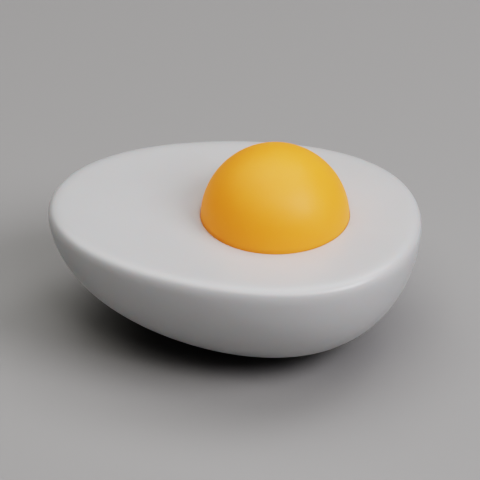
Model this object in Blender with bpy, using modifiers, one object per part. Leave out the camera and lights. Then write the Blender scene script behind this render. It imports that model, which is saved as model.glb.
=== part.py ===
# Half of a peeled hard boiled egg, cut lengthwise, cut face up. The yolk is a
# whole ball: its lower half sits in a round hollow in the white, and its upper
# half stands proud of the cut face.
# Metres, +Z up, +X towards the blunt end. The origin is on the surface that the
# egg rests on, under the middle of its length.

from math import pi, radians, sqrt

import bmesh
import bpy
from mathutils import Matrix, Vector

# Driving dimensions of the white
EGG_LENGTH = 0.0560
EGG_BREADTH = 0.0429
TAPER = 0.125  # how much the blunt half is wider and the narrow half slimmer than an ellipse
FULLNESS = 0.112  # how much fuller than an ellipse both ends are
RIM_RADIUS = 0.0020  # rounding between the cut face and the skin
REST_DEPTH = 0.0003  # how far the belly is flattened where it rests

# Driving dimensions of the yolk
YOLK_DIAMETER = 0.0221
YOLK_FORWARD = 0.0062  # its centre from the middle of the egg, towards the blunt end
YOLK_SINK = 0.0005  # its centre below the cut face
YOLK_GAP = 0.0003  # clearance between the yolk and its hollow

# How finely the round shapes are faceted
SKIN_SEGMENTS = 88
SKIN_RINGS = 28
RIM_SEGMENTS = 6
YOLK_SEGMENTS = 64
YOLK_RINGS = 32

# Colours, linear, and roughness
WHITE_COLOUR = (0.80, 0.79, 0.76, 1.0)
WHITE_ROUGHNESS = 0.35
YOLK_COLOUR = (0.86, 0.40, 0.035, 1.0)
YOLK_ROUGHNESS = 0.55


def section_growth(along):
    """How much an egg's section at this place is larger than an ellipse's.

    along runs from -1 at the narrow tip to 1 at the blunt one."""
    return 1 + TAPER * along + FULLNESS * along**2


def middle_half_breadth():
    """Half the breadth at mid length, so that the widest section has EGG_BREADTH."""
    places = [step / 200 for step in range(-200, 201)]
    widest = max(section_growth(along) * sqrt(1 - along**2) for along in places)
    return EGG_BREADTH / 2 / widest


CUT_HEIGHT = EGG_BREADTH / 2 - REST_DEPTH
YOLK_CENTRE = Vector((YOLK_FORWARD, 0, CUT_HEIGHT - YOLK_SINK))


def clear_scene():
    for thing in list(bpy.data.objects):
        bpy.data.objects.remove(thing, do_unlink=True)


def new_collection(name):
    made = bpy.data.collections.new(name)
    bpy.context.scene.collection.children.link(made)
    return made


def food_material(name, colour, roughness):
    material = bpy.data.materials.new(name)
    material.use_nodes = True
    shader = material.node_tree.nodes["Principled BSDF"]
    shader.inputs["Base Color"].default_value = colour
    shader.inputs["Roughness"].default_value = roughness
    shader.inputs["Metallic"].default_value = 0.0
    material.diffuse_color = colour
    return material


def finished_object(name, shape, collection):
    """An object made from a bmesh, shaded smooth, in its collection."""
    mesh = bpy.data.meshes.new(name)
    shape.to_mesh(mesh)
    shape.free()
    mesh.shade_smooth()
    made = bpy.data.objects.new(name, mesh)
    collection.objects.link(made)
    return made


def ball(name, radius, centre, collection):
    shape = bmesh.new()
    bmesh.ops.create_uvsphere(
        shape,
        u_segments=YOLK_SEGMENTS,
        v_segments=YOLK_RINGS,
        radius=radius,
    )
    made = finished_object(name, shape, collection)
    made.location = centre
    return made


def keep_below(shape, height):
    """Cuts a shape level at a height, keeps what is below, and closes the cut."""
    bmesh.ops.bisect_plane(
        shape,
        geom=shape.verts[:] + shape.edges[:] + shape.faces[:],
        dist=1e-7,
        plane_co=(0, 0, height),
        plane_no=(0, 0, 1),
        clear_outer=True,
    )
    bmesh.ops.holes_fill(shape, edges=[edge for edge in shape.edges if edge.is_boundary])


def egg_from_unit_ball(shape):
    """Turns a ball of radius 1 into an egg that lies along X.

    Each upright section of the ball stays a circle. It moves along X and grows
    or shrinks with section_growth."""
    breadth = middle_half_breadth()
    for vertex in shape.verts:
        along = vertex.co.x
        size = breadth * section_growth(along)
        vertex.co = Vector((along * EGG_LENGTH / 2, vertex.co.y * size, vertex.co.z * size))


def half_egg_shape():
    """The lower half of the egg with a flat spot under its belly, cut face up."""
    shape = bmesh.new()
    bmesh.ops.create_uvsphere(shape, u_segments=SKIN_SEGMENTS, v_segments=SKIN_RINGS, radius=1)
    egg_from_unit_ball(shape)
    keep_below(shape, 0)
    # Half a turn about X puts the belly on top, where the same cut flattens it.
    half_turn = Matrix.Rotation(pi, 3, "X")
    bmesh.ops.rotate(shape, matrix=half_turn, verts=shape.verts[:])
    keep_below(shape, CUT_HEIGHT)
    bmesh.ops.rotate(shape, matrix=half_turn, verts=shape.verts[:])
    bmesh.ops.translate(shape, vec=(0, 0, CUT_HEIGHT), verts=shape.verts[:])
    bmesh.ops.recalc_face_normals(shape, faces=shape.faces[:])
    return shape


def round_rim(white):
    bevel = white.modifiers.new("rounded_rim", "BEVEL")
    bevel.width = RIM_RADIUS
    bevel.segments = RIM_SEGMENTS
    bevel.limit_method = "ANGLE"
    bevel.angle_limit = radians(60)
    bevel.use_clamp_overlap = False


def hollow_for_yolk(white, cutters):
    cutter = ball("yolk_hollow", YOLK_DIAMETER / 2 + YOLK_GAP, YOLK_CENTRE, cutters)
    cutter.hide_render = True
    cutter.display_type = "WIRE"
    hollow = white.modifiers.new("yolk_hollow", "BOOLEAN")
    hollow.operation = "DIFFERENCE"
    hollow.object = cutter


def add_white(parts, cutters):
    white = finished_object("egg_white", half_egg_shape(), parts)
    round_rim(white)
    hollow_for_yolk(white, cutters)
    white.data.materials.append(food_material("cooked_white", WHITE_COLOUR, WHITE_ROUGHNESS))


def add_yolk(parts):
    yolk = ball("egg_yolk", YOLK_DIAMETER / 2, YOLK_CENTRE, parts)
    yolk.data.materials.append(food_material("cooked_yolk", YOLK_COLOUR, YOLK_ROUGHNESS))


def main():
    clear_scene()
    parts = new_collection("boiled_egg_half")
    cutters = new_collection("cutters")
    add_white(parts, cutters)
    add_yolk(parts)


main()
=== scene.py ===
# Half of a peeled hard boiled egg, cut face up: the white, the yolk ball, their
# finishes, a pale floor, soft studio light and the camera. Metres, +Z up.

import math

import bmesh
import bpy
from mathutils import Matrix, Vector


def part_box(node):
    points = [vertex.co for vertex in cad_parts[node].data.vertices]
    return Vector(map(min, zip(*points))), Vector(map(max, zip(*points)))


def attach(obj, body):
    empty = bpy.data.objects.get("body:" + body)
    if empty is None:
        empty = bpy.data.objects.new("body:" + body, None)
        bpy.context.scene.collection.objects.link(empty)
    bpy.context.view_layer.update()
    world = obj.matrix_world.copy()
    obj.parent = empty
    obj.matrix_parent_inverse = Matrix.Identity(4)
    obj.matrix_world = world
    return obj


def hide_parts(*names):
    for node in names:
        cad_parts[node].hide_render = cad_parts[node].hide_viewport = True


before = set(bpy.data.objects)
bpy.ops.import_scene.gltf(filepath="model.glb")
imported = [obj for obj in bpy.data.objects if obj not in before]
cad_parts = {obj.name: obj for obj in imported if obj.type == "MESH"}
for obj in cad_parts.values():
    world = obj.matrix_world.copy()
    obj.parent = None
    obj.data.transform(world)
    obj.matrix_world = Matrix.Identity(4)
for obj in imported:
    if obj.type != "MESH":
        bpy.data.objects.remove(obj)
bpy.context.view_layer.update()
print("frame loaded:", ", ".join(sorted(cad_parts)))

_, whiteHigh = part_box("egg_white")
yolkLow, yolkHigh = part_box("egg_yolk")
cutHeight = whiteHigh.z  # the cut face lies at this height
yolkCentre = (yolkLow + yolkHigh) / 2
yolkRadius = (yolkHigh.z - yolkLow.z) / 2


# small helpers for node trees

def giveValue(tree, socket, value):
    # a socket is linked, and anything else is set as the plain value
    if isinstance(value, bpy.types.NodeSocket):
        tree.links.new(value, socket)
    else:
        socket.default_value = value


def addNode(tree, kind, values=None, **settings):
    # values are keyed by a socket's name or number
    made = tree.nodes.new(kind)
    for name, setting in settings.items():
        setattr(made, name, setting)
    for name, value in (values or {}).items():
        giveValue(tree, made.inputs[name], value)
    return made


def calc(tree, operation, *values):
    made = addNode(tree, "ShaderNodeMath", dict(enumerate(values)), operation=operation)
    return made.outputs[0]


def calcVector(tree, operation, *values):
    made = addNode(tree, "ShaderNodeVectorMath", dict(enumerate(values)), operation=operation)
    return made.outputs[0]


def scaled(tree, vector, factor):
    made = addNode(tree, "ShaderNodeVectorMath", {0: vector, "Scale": factor}, operation="SCALE")
    return made.outputs[0]


def joined(tree, x, y, z):
    return addNode(tree, "ShaderNodeCombineXYZ", {0: x, 1: y, 2: z}).outputs[0]


def split(tree, vector):
    return addNode(tree, "ShaderNodeSeparateXYZ", {0: vector}).outputs


def ramped(tree, value, start, end, low=0.0, high=1.0, shape="LINEAR"):
    # value runs from start to end, the result from low to high, and no further
    made = addNode(
        tree,
        "ShaderNodeMapRange",
        {"Value": value, "From Min": start, "From Max": end, "To Min": low, "To Max": high},
        interpolation_type=shape,
    )
    return made.outputs["Result"]


def blended(tree, factor, first, second, kind="FLOAT"):
    made = addNode(tree, "ShaderNodeMix", data_type=kind)
    named = {socket.identifier: socket for socket in made.inputs}
    ends = {"FLOAT": "Float", "VECTOR": "Vector", "RGBA": "Color"}[kind]
    giveValue(tree, named["Factor_Float"], factor)
    giveValue(tree, named["A_" + ends], first)
    giveValue(tree, named["B_" + ends], second)
    return {socket.identifier: socket for socket in made.outputs}["Result_" + ends]


def newTree(name, kind, inputs, outputs):
    # inputs and outputs are pairs of a socket's name and its type
    tree = bpy.data.node_groups.new(name, kind)
    for direction, sockets in (("INPUT", inputs), ("OUTPUT", outputs)):
        for socketName, socketType in sockets:
            tree.interface.new_socket(
                socketName, in_out=direction, socket_type="NodeSocket" + socketType,
            )
    given = tree.nodes.new("NodeGroupInput").outputs
    result = tree.nodes.new("NodeGroupOutput").inputs
    return tree, given, result


def useTree(tree, group, values):
    # the group's node in this tree, with its inputs linked or set
    made = tree.nodes.new(tree.bl_idname.replace("NodeTree", "NodeGroup"))
    made.node_tree = group
    for name, value in values.items():
        giveValue(tree, made.inputs[name], value)
    return made.outputs


def pieceFromTree(name, tree, values):
    # the tree is evaluated once on an empty mesh, and what it makes becomes a plain mesh
    builder = bpy.data.objects.new(name + "Builder", bpy.data.meshes.new(name + "Builder"))
    bpy.context.scene.collection.objects.link(builder)
    modifier = builder.modifiers.new(tree.name, "NODES")
    modifier.node_group = tree
    for item in tree.interface.items_tree:
        if item.item_type == "SOCKET" and item.in_out == "INPUT":
            modifier[item.identifier] = values[item.name]
    graph = bpy.context.evaluated_depsgraph_get()
    mesh = bpy.data.meshes.new_from_object(builder.evaluated_get(graph))
    mesh.name = name
    bpy.data.objects.remove(builder)
    piece = bpy.data.objects.new(name, mesh)
    bpy.context.scene.collection.objects.link(piece)
    print(f"{name}: {len(mesh.vertices)} points, {len(mesh.polygons)} faces")
    return piece


# finishes

def makeMottle():
    # soft clouds of a paler and a deeper colour, and a mask of them
    tree, given, result = newTree(
        "softMottle",
        "ShaderNodeTree",
        [("Vector", "Vector"), ("Size", "Float"), ("Base", "Color"), ("Pale", "Color"),
         ("Deep", "Color"), ("Amount", "Float")],
        [("Color", "Color"), ("Mask", "Float")],
    )
    frequency = calc(tree, "DIVIDE", 1.0, given["Size"])
    clouds = addNode(
        tree, "ShaderNodeTexNoise",
        {"Vector": given["Vector"], "Scale": frequency, "Detail": 3.0, "Roughness": 0.55},
    ).outputs["Fac"]
    # the noise lies about its middle and seldom leaves this band
    lowest, middle, highest = 0.25, 0.5, 0.75
    pale = calc(tree, "MULTIPLY", ramped(tree, clouds, middle, highest), given["Amount"])
    deep = calc(tree, "MULTIPLY", ramped(tree, clouds, middle, lowest), given["Amount"])
    colour = blended(tree, pale, given["Base"], given["Pale"], "RGBA")
    colour = blended(tree, deep, colour, given["Deep"], "RGBA")
    tree.links.new(colour, result["Color"])
    tree.links.new(clouds, result["Mask"])
    return tree


def makeGrain():
    # fine grains as a height from 0 to 1
    tree, given, result = newTree(
        "fineGrain",
        "ShaderNodeTree",
        [("Vector", "Vector"), ("Size", "Float"), ("Softness", "Float")],
        [("Height", "Float")],
    )
    frequency = calc(tree, "DIVIDE", 1.0, given["Size"])
    cells = addNode(
        tree, "ShaderNodeTexVoronoi",
        {"Vector": given["Vector"], "Scale": frequency, "Smoothness": given["Softness"]},
        feature="SMOOTH_F1",
    ).outputs["Distance"]
    specks = addNode(
        tree, "ShaderNodeTexNoise",
        {"Vector": given["Vector"], "Scale": frequency, "Detail": 2.0, "Roughness": 0.5},
    ).outputs["Fac"]
    speckShare = 0.5  # the rest of the height comes from the cells
    height = blended(tree, speckShare, calc(tree, "SUBTRACT", 1.0, cells), specks)
    tree.links.new(height, result["Height"])
    return tree


mottle = makeMottle()
grain = makeGrain()

whiteFinish = {
    "base": (0.638, 0.639, 0.637, 1),
    "pale": (0.663, 0.667, 0.667, 1),
    "deep": (0.613, 0.610, 0.604, 1),
    "cloudSize": 0.009,
    "cloudAmount": 0.35,
    "roughness": (0.34, 0.36),  # from the smoothest clouds to the roughest
    "gloss": 0.90,
    "grainSize": 0.0008,
    "grainSoftness": 0.6,
    "grainDepth": 0.0000015,
    "scatter": 0.3,  # share of light that enters the flesh
    "scatterDepth": 0.0015,
    "scatterReach": (1.0, 0.5, 0.35),
    "paintedGlow": None,
}

yolkFinish = {
    "base": (0.98, 0.379, 0.064, 1),
    "pale": (0.99, 0.406, 0.078, 1),
    "deep": (0.97, 0.352, 0.052, 1),
    "cloudSize": 0.006,
    "cloudAmount": 0.4,
    "roughness": (0.44, 0.52),
    "gloss": 0.44,
    "grainSize": 0.00035,
    "grainSoftness": 0.6,
    "grainDepth": 0.000012,
    "scatter": 0.25,
    "scatterDepth": 0.0014,
    "scatterReach": (1.0, 0.3, 0.1),
    "paintedGlow": (0.215, 0.053, 0.005, 1),  # painted glow: an emission that stands in for light scattered inside the yolk and brightens its shaded side, faint and nearly even
    "paintedGlowAtFoot": 0.45,  # the share of the painted glow that is left at the line where the white begins
    "footReach": 0.0008,  # how far from that line it is full
}


def makeFlesh(name, finish):
    # cooked egg: clouded colour, uneven gloss, fine grain, a little light scattered inside, and,
    # where the finish gives one, a painted glow
    material = bpy.data.materials.new(name)
    material.use_nodes = True
    tree = material.node_tree
    shader = tree.nodes["Principled BSDF"]
    place = addNode(tree, "ShaderNodeTexCoord").outputs["Object"]
    clouds = useTree(tree, mottle, {
        "Vector": place, "Size": finish["cloudSize"], "Amount": finish["cloudAmount"],
        "Base": finish["base"], "Pale": finish["pale"], "Deep": finish["deep"],
    })
    height = useTree(tree, grain, {
        "Vector": place, "Size": finish["grainSize"], "Softness": finish["grainSoftness"],
    })["Height"]
    bump = addNode(tree, "ShaderNodeBump", {"Height": height, "Distance": finish["grainDepth"]})
    smoothMask, roughMask = 0.3, 0.7
    smooth, rough = finish["roughness"]
    roughness = ramped(tree, clouds["Mask"], smoothMask, roughMask, smooth, rough)
    tree.links.new(clouds["Color"], shader.inputs["Base Color"])
    tree.links.new(roughness, shader.inputs["Roughness"])
    tree.links.new(bump.outputs["Normal"], shader.inputs["Normal"])
    shader.inputs["Specular IOR Level"].default_value = finish["gloss"]
    shader.inputs["Subsurface Weight"].default_value = finish["scatter"]
    shader.inputs["Subsurface Scale"].default_value = finish["scatterDepth"]
    shader.inputs["Subsurface Radius"].default_value = finish["scatterReach"]
    # the emission is a painted glow that brightens the yolk's shaded side, and it is weaker near
    # the cut height, at the yolk's foot
    if finish["paintedGlow"]:
        away = calc(tree, "ABSOLUTE", calc(tree, "SUBTRACT", split(tree, place)[2], cutHeight))
        fade = ramped(tree, away, 0.0, finish["footReach"], finish["paintedGlowAtFoot"], 1.0, "SMOOTHSTEP")
        paintedGlow = blended(tree, fade, (0.0, 0.0, 0.0, 1), finish["paintedGlow"], "RGBA")
        tree.links.new(paintedGlow, shader.inputs["Emission Color"])
        shader.inputs["Emission Strength"].default_value = 1.0
    material.diffuse_color = finish["base"]
    return material


cookedWhite = makeFlesh("cookedWhite", whiteFinish)
cookedYolk = makeFlesh("cookedYolk", yolkFinish)
print("finishes made")


# the white

whiteSettings = {
    "length": 0.0560,
    "breadth": 0.0429,
    "taper": 0.125,  # how much the blunt half is wider than an ellipse
    "fullness": 0.112,  # how much fuller than an ellipse both ends are
    "rimReach": 0.0028,  # how far from the corner the rounding starts on either side
    "rimSharpness": 1.5,  # 0.7 is a round rim, and more is tighter in its middle
    "columns": 288,
    "bellyRows": 100,
    "rimRows": 20,
    "faceRows": 48,
    "hollowRows": 32,
    "hollowOverlap": 0.00004,  # the yolk presses this far into its hollow
    "swell": 0.00006,  # how far the skin is uneven
    "swellSize": 0.011,
    "seed": 4.0,
}


def makeSection():
    # an egg's upright section at a place along it, from -1 at the narrow tip to 1
    tree, given, result = newTree(
        "eggSection",
        "GeometryNodeTree",
        [("Along", "Float"), ("Length", "Float"), ("Half Breadth", "Float"), ("Taper", "Float"),
         ("Fullness", "Float")],
        [("Size", "Float"), ("Lean", "Float"), ("Normal Length", "Float")],
    )
    along = given["Along"]
    fuller = calc(tree, "MULTIPLY", given["Fullness"], along)
    growth = calc(tree, "MULTIPLY_ADD", calc(tree, "ADD", given["Taper"], fuller), along, 1.0)
    size = calc(tree, "MULTIPLY", growth, given["Half Breadth"])
    steepening = calc(tree, "MULTIPLY_ADD", 2.0, fuller, given["Taper"])
    slope = calc(tree, "MULTIPLY", steepening, given["Half Breadth"])
    left = calc(tree, "SUBTRACT", 1.0, calc(tree, "MULTIPLY", along, along))
    # Lean is how far the skin's normal turns towards the tip, before it is made a unit
    tipward = calc(tree, "MULTIPLY", along, size)
    pull = calc(tree, "SUBTRACT", tipward, calc(tree, "MULTIPLY", slope, left))
    halfLength = calc(tree, "MULTIPLY", given["Length"], 0.5)
    lean = calc(tree, "DIVIDE", calc(tree, "MULTIPLY", size, pull), halfLength)
    across = calc(tree, "MULTIPLY", calc(tree, "MULTIPLY", size, size), left)
    normalLength = calc(tree, "SQRT", calc(tree, "MULTIPLY_ADD", lean, lean, across))
    tree.links.new(size, result["Size"])
    tree.links.new(lean, result["Lean"])
    tree.links.new(normalLength, result["Normal Length"])
    return tree


def makeHalfEgg(section):
    # a ball's rings from the lowest to the highest become the belly, the rim, the
    # cut face and the hollow for the yolk
    tree, given, result = newTree(
        "halfEgg",
        "GeometryNodeTree",
        [("Length", "Float"), ("Half Breadth", "Float"), ("Taper", "Float"), ("Fullness", "Float"),
         ("Rim Reach", "Float"), ("Rim Sharpness", "Float"), ("Cut Height", "Float"),
         ("Yolk Centre", "Vector"), ("Hollow Radius", "Float"), ("Columns", "Int"), ("Rows", "Int"),
         ("Rim Start", "Float"), ("Face Start", "Float"), ("Hollow Start", "Float"),
         ("Swell", "Float"), ("Swell Size", "Float"), ("Seed", "Float"), ("Material", "Material")],
        [("Geometry", "Geometry")],
    )
    egg = {name: given[name] for name in ("Length", "Half Breadth", "Taper", "Fullness")}
    rim = given["Rim Reach"]
    ball = addNode(tree, "GeometryNodeMeshUVSphere", {
        "Segments": given["Columns"], "Rings": given["Rows"], "Radius": 1.0,
    }).outputs["Mesh"]

    # how far up the ball a point lies, from 0 to 1, and how far into each stage
    place = addNode(tree, "GeometryNodeInputPosition").outputs[0]
    ballX, ballY, ballZ = split(tree, place)
    fromLowest = calc(tree, "ARCCOSINE", calc(tree, "MULTIPLY", ballZ, -1.0))
    upward = calc(tree, "DIVIDE", fromLowest, math.pi)
    belly = ramped(tree, upward, 0.0, given["Rim Start"])
    turn = ramped(tree, upward, given["Rim Start"], given["Face Start"])
    inward = ramped(tree, upward, given["Face Start"], given["Hollow Start"])
    sink = ramped(tree, upward, given["Hollow Start"], 1.0)
    heading = calcVector(tree, "NORMALIZE", joined(tree, ballX, ballY, 0.0))
    headingX, headingY, _ = split(tree, heading)

    # the rounding starts at the latitude where a ball with its reach as a radius
    # touches both the skin and the cut face
    latitude = 0.0
    settlingRounds = 2
    for _ in range(settlingRounds):
        along = calc(tree, "MULTIPLY", calc(tree, "COSINE", latitude), headingX)
        here = useTree(tree, section, {"Along": along, **egg})
        normalLength = here["Normal Length"]
        spare = calc(tree, "MULTIPLY", calc(tree, "SUBTRACT", normalLength, rim), here["Size"])
        drop = calc(tree, "DIVIDE", calc(tree, "MULTIPLY", rim, normalLength), spare)
        latitude = calc(tree, "MULTIPLY", calc(tree, "ARCSINE", drop), -1.0)
    latitude = blended(tree, belly, -math.pi / 2, latitude)

    # the point on the skin, its normal, and the core of the ball that touches there
    level = calc(tree, "COSINE", latitude)
    along = calc(tree, "MULTIPLY", level, headingX)
    here = useTree(tree, section, {"Along": along, **egg})
    across = calc(tree, "MULTIPLY", calc(tree, "MULTIPLY", level, headingY), here["Size"])
    down = calc(tree, "MULTIPLY", calc(tree, "SINE", latitude), here["Size"])
    forward = calc(tree, "MULTIPLY", along, calc(tree, "MULTIPLY", given["Length"], 0.5))
    skin = joined(tree, forward, across, down)
    normal = calcVector(tree, "NORMALIZE", joined(tree, here["Lean"], across, down))
    core = calcVector(tree, "SUBTRACT", skin, scaled(tree, normal, rim))
    top = calcVector(tree, "ADD", core, joined(tree, 0.0, 0.0, rim))
    # the rounding runs from the skin to the face and is drawn towards the corner where
    # both would meet, so it is tightest in its middle
    _, _, normalZ = split(tree, normal)
    stretch = calc(tree, "DIVIDE", rim, calc(tree, "ADD", normalZ, 1.0))
    cornerWay = calcVector(tree, "ADD", normal, (0.0, 0.0, 1.0))
    corner = calcVector(tree, "ADD", core, scaled(tree, cornerWay, stretch))
    unturned = calc(tree, "SUBTRACT", 1.0, turn)
    skinPull = calc(tree, "MULTIPLY", unturned, unturned)
    topPull = calc(tree, "MULTIPLY", turn, turn)
    between = calc(tree, "MULTIPLY", calc(tree, "MULTIPLY", unturned, turn), 2.0)
    cornerPull = calc(tree, "MULTIPLY", between, given["Rim Sharpness"])
    allPull = calc(tree, "ADD", calc(tree, "ADD", skinPull, topPull), cornerPull)
    shell = calcVector(tree, "ADD", scaled(tree, skin, skinPull), scaled(tree, top, topPull))
    shell = calcVector(tree, "ADD", shell, scaled(tree, corner, cornerPull))
    shell = scaled(tree, shell, calc(tree, "DIVIDE", 1.0, allPull))
    shell = calcVector(tree, "ADD", shell, joined(tree, 0.0, 0.0, given["Cut Height"]))

    # the hollow: part of a ball about the yolk's centre, from the cut face down
    centreX, centreY, centreZ = split(tree, given["Yolk Centre"])
    hollowRadius = given["Hollow Radius"]
    rise = calc(tree, "DIVIDE", calc(tree, "SUBTRACT", given["Cut Height"], centreZ), hollowRadius)
    dip = blended(tree, sink, calc(tree, "ARCSINE", rise), -math.pi / 2)
    hollowWay = calcVector(
        tree, "ADD",
        scaled(tree, heading, calc(tree, "COSINE", dip)),
        joined(tree, 0.0, 0.0, calc(tree, "SINE", dip)),
    )
    hollow = calcVector(tree, "ADD", given["Yolk Centre"], scaled(tree, hollowWay, hollowRadius))
    shape = blended(tree, inward, shell, hollow, "VECTOR")
    # the belly is flat where it rests
    shapeX, shapeY, shapeZ = split(tree, shape)
    shape = joined(tree, shapeX, shapeY, calc(tree, "MAXIMUM", shapeZ, 0.0))
    shaped = addNode(
        tree, "GeometryNodeSetPosition", {"Geometry": ball, "Position": shape},
    ).outputs[0]

    # slow unevenness, always inward, that fades out at the resting spot and the hollow
    restEnd, bellyFull = 0.12, 0.3  # in shares of the belly's rows
    hollowEdge, faceFull = 0.98, 0.8  # in shares of the face's rows
    swells = addNode(
        tree, "ShaderNodeTexNoise",
        {"Vector": addNode(tree, "GeometryNodeInputPosition").outputs[0], "W": given["Seed"],
         "Scale": calc(tree, "DIVIDE", 1.0, given["Swell Size"]), "Detail": 2.0, "Roughness": 0.4},
        noise_dimensions="4D",
    ).outputs["Fac"]
    clear = calc(
        tree, "MULTIPLY",
        ramped(tree, belly, restEnd, bellyFull, shape="SMOOTHSTEP"),
        ramped(tree, inward, hollowEdge, faceFull, shape="SMOOTHSTEP"),
    )
    deepest = calc(tree, "MULTIPLY", given["Swell"], -2.0)  # the noise lies about a half
    depth = calc(tree, "MULTIPLY", calc(tree, "MULTIPLY", swells, clear), deepest)
    offset = scaled(tree, addNode(tree, "GeometryNodeInputNormal").outputs[0], depth)
    uneven = addNode(
        tree, "GeometryNodeSetPosition", {"Geometry": shaped, "Offset": offset},
    ).outputs[0]
    smooth = addNode(tree, "GeometryNodeSetShadeSmooth", {"Geometry": uneven}).outputs[0]
    plain = addNode(tree, "GeometryNodeRealizeInstances", {"Geometry": smooth}).outputs[0]
    coloured = addNode(
        tree, "GeometryNodeSetMaterial", {"Geometry": plain, "Material": given["Material"]},
    ).outputs[0]
    tree.links.new(coloured, result["Geometry"])
    return tree


def middleHalfBreadth(egg):
    # half the breadth at mid length, so that the widest section has the egg's breadth
    steps = 200  # from mid length to either tip
    places = [step / steps for step in range(-steps, steps + 1)]
    widest = max(
        (1 + egg["taper"] * along + egg["fullness"] * along**2) * math.sqrt(1 - along**2)
        for along in places
    )
    return egg["breadth"] / 2 / widest


def makeWhite(egg):
    rows = [egg[name] for name in ("bellyRows", "rimRows", "faceRows", "hollowRows")]
    starts = [sum(rows[:count]) / sum(rows) for count in (1, 2, 3)]
    piece = pieceFromTree("eggWhite", makeHalfEgg(makeSection()), {
        "Length": egg["length"],
        "Half Breadth": middleHalfBreadth(egg),
        "Taper": egg["taper"],
        "Fullness": egg["fullness"],
        "Rim Reach": egg["rimReach"],
        "Rim Sharpness": egg["rimSharpness"],
        "Cut Height": cutHeight,
        "Yolk Centre": yolkCentre,
        "Hollow Radius": yolkRadius - egg["hollowOverlap"],
        "Columns": egg["columns"],
        "Rows": sum(rows),
        "Rim Start": starts[0],
        "Face Start": starts[1],
        "Hollow Start": starts[2],
        "Swell": egg["swell"],
        "Swell Size": egg["swellSize"],
        "Seed": egg["seed"],
        "Material": cookedWhite,
    })
    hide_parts("egg_white")
    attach(piece, "root")


makeWhite(whiteSettings)


# the yolk

yolkSettings = {
    "subdivisions": 7,
    "dent": 0.00006,  # slow unevenness of the ball
    "dentSize": 0.008,
    "crumb": 0.00001,  # relief of the crumbly surface
    "crumbSize": 0.0009,
    "seed": 2.0,
}


def makeYolkBall():
    tree, given, result = newTree(
        "yolkBall",
        "GeometryNodeTree",
        [("Centre", "Vector"), ("Radius", "Float"), ("Subdivisions", "Int"), ("Dent", "Float"),
         ("Dent Size", "Float"), ("Crumb", "Float"), ("Crumb Size", "Float"), ("Seed", "Float"),
         ("Material", "Material")],
        [("Geometry", "Geometry")],
    )
    ball = addNode(tree, "GeometryNodeMeshIcoSphere", {
        "Radius": given["Radius"], "Subdivisions": given["Subdivisions"],
    }).outputs["Mesh"]
    place = addNode(tree, "GeometryNodeInputPosition").outputs[0]
    depth = 0.0
    for height, size, detail in (("Dent", "Dent Size", 1.0), ("Crumb", "Crumb Size", 2.0)):
        waves = addNode(
            tree, "ShaderNodeTexNoise",
            {"Vector": place, "W": given["Seed"], "Scale": calc(tree, "DIVIDE", 1.0, given[size]),
             "Detail": detail},
            noise_dimensions="4D",
        ).outputs["Fac"]
        depth = calc(tree, "MULTIPLY_ADD", waves, given[height], depth)
    # the relief only goes inward, so the ball keeps its size
    inward = scaled(tree, calcVector(tree, "NORMALIZE", place), calc(tree, "MULTIPLY", depth, -1.0))
    offset = calcVector(tree, "ADD", inward, given["Centre"])
    shaped = addNode(
        tree, "GeometryNodeSetPosition", {"Geometry": ball, "Offset": offset},
    ).outputs[0]
    smooth = addNode(tree, "GeometryNodeSetShadeSmooth", {"Geometry": shaped}).outputs[0]
    plain = addNode(tree, "GeometryNodeRealizeInstances", {"Geometry": smooth}).outputs[0]
    coloured = addNode(
        tree, "GeometryNodeSetMaterial", {"Geometry": plain, "Material": given["Material"]},
    ).outputs[0]
    tree.links.new(coloured, result["Geometry"])
    return tree


def makeYolk(yolk):
    piece = pieceFromTree("eggYolk", makeYolkBall(), {
        "Centre": yolkCentre,
        "Radius": yolkRadius,
        "Subdivisions": yolk["subdivisions"],
        "Dent": yolk["dent"],
        "Dent Size": yolk["dentSize"],
        "Crumb": yolk["crumb"],
        "Crumb Size": yolk["crumbSize"],
        "Seed": yolk["seed"],
        "Material": cookedYolk,
    })
    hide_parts("egg_yolk")
    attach(piece, "root")


makeYolk(yolkSettings)


# floor, light and camera

floorSettings = {
    "size": 4.0,
    "colour": (0.364, 0.358, 0.350, 1),
    "roughness": 0.7,
}


def makeFloor(floor):
    material = bpy.data.materials.new("paleFloor")
    material.use_nodes = True
    shader = material.node_tree.nodes["Principled BSDF"]
    shader.inputs["Base Color"].default_value = floor["colour"]
    shader.inputs["Roughness"].default_value = floor["roughness"]
    shape = bmesh.new()
    bmesh.ops.create_grid(shape, x_segments=1, y_segments=1, size=floor["size"] / 2)
    mesh = bpy.data.meshes.new("floor")
    shape.to_mesh(mesh)
    shape.free()
    mesh.materials.append(material)
    piece = bpy.data.objects.new("floor", mesh)
    bpy.context.scene.collection.objects.link(piece)


# azimuth 0 is in front, 90 to the right; degrees, metres and watts
lampDistance = 0.7
lamps = {
    "top": {"azimuth": 0, "elevation": 89, "size": 0.6, "power": 0.29,
            "colour": (1.0, 1.0, 1.0)},
    "front": {"azimuth": 0, "elevation": 60, "size": 0.3, "power": 0.47,
              "colour": (1.02, 1.0, 0.95)},
    "half": {"azimuth": 34, "elevation": 49, "size": 0.3, "power": 0.57,
             "colour": (1.01, 1.0, 1.06)},
    "key": {"azimuth": 70, "elevation": 39, "size": 0.36, "power": 2.02,
            "colour": (1.01, 1.0, 1.05)},
    "right": {"azimuth": 130, "elevation": 56, "size": 0.3, "power": 0.50,
              "colour": (1.01, 1.0, 1.05)},
    "back": {"azimuth": 180, "elevation": 75, "size": 0.6, "power": 1.05,
             "colour": (1.0, 1.0, 1.0)},
    "left": {"azimuth": 240, "elevation": 50, "size": 0.45, "power": 0.40,
             "colour": (1.0, 1.0, 0.99)},
    "fill": {"azimuth": 300, "elevation": 65, "size": 0.45, "power": 0.44,
             "colour": (1.0, 1.0, 0.99)},
}


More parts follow.
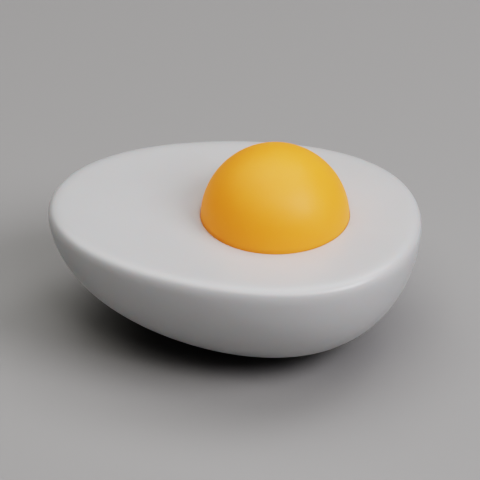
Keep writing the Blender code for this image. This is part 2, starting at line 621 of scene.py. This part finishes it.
def awayFrom(azimuth, elevation):
    # the unit direction from the egg towards this azimuth and elevation, in degrees
    turn, lift = math.radians(azimuth), math.radians(elevation)
    return Vector((
        math.sin(turn) * math.cos(lift),
        -math.cos(turn) * math.cos(lift),
        math.sin(lift),
    ))


def makeLamp(name, lamp):
    data = bpy.data.lights.new(name, "AREA")
    data.energy = lamp["power"]
    data.color = lamp["colour"]
    data.shape = "DISK"
    data.size = lamp["size"]
    away = awayFrom(lamp["azimuth"], lamp["elevation"])
    made = bpy.data.objects.new(name, data)
    made.location = Vector((0, 0, cutHeight)) + away * lampDistance
    made.rotation_euler = away.to_track_quat("Z", "Y").to_euler()
    bpy.context.scene.collection.objects.link(made)


def makeWorld():
    # all the light comes from the lamps
    world = bpy.data.worlds.new("studio")
    world.use_nodes = True
    world.node_tree.nodes["Background"].inputs["Strength"].default_value = 0.0
    bpy.context.scene.world = world


cameraSettings = {
    "azimuth": 10.6,
    "elevation": 32.6,
    "distance": 0.56,
    "focalLength": 284.1,  # mm
    "sensorWidth": 36,  # mm
    "nearest": 0.01,  # nothing closer or farther is seen
    "farthest": 20,
    "aim": (0.00133, -0.00216, -0.00384),  # from the middle of the cut face
}


def makeCamera(settings):
    data = bpy.data.cameras.new("camera")
    data.sensor_width = settings["sensorWidth"]
    data.lens = settings["focalLength"]
    data.clip_start = settings["nearest"]
    data.clip_end = settings["farthest"]
    away = awayFrom(settings["azimuth"], settings["elevation"])
    made = bpy.data.objects.new("camera", data)
    aim = Vector((0, 0, cutHeight)) + Vector(settings["aim"])
    made.location = aim + away * settings["distance"]
    made.rotation_euler = away.to_track_quat("Z", "Y").to_euler()
    bpy.context.scene.collection.objects.link(made)
    bpy.context.scene.camera = made


makeFloor(floorSettings)
for lampName, lampSettings in lamps.items():
    makeLamp(lampName, lampSettings)
makeWorld()
makeCamera(cameraSettings)
bpy.context.scene.view_settings.view_transform = "Filmic"
bpy.context.scene.view_settings.look = "Very High Contrast"
print("floor, lamps and camera placed")
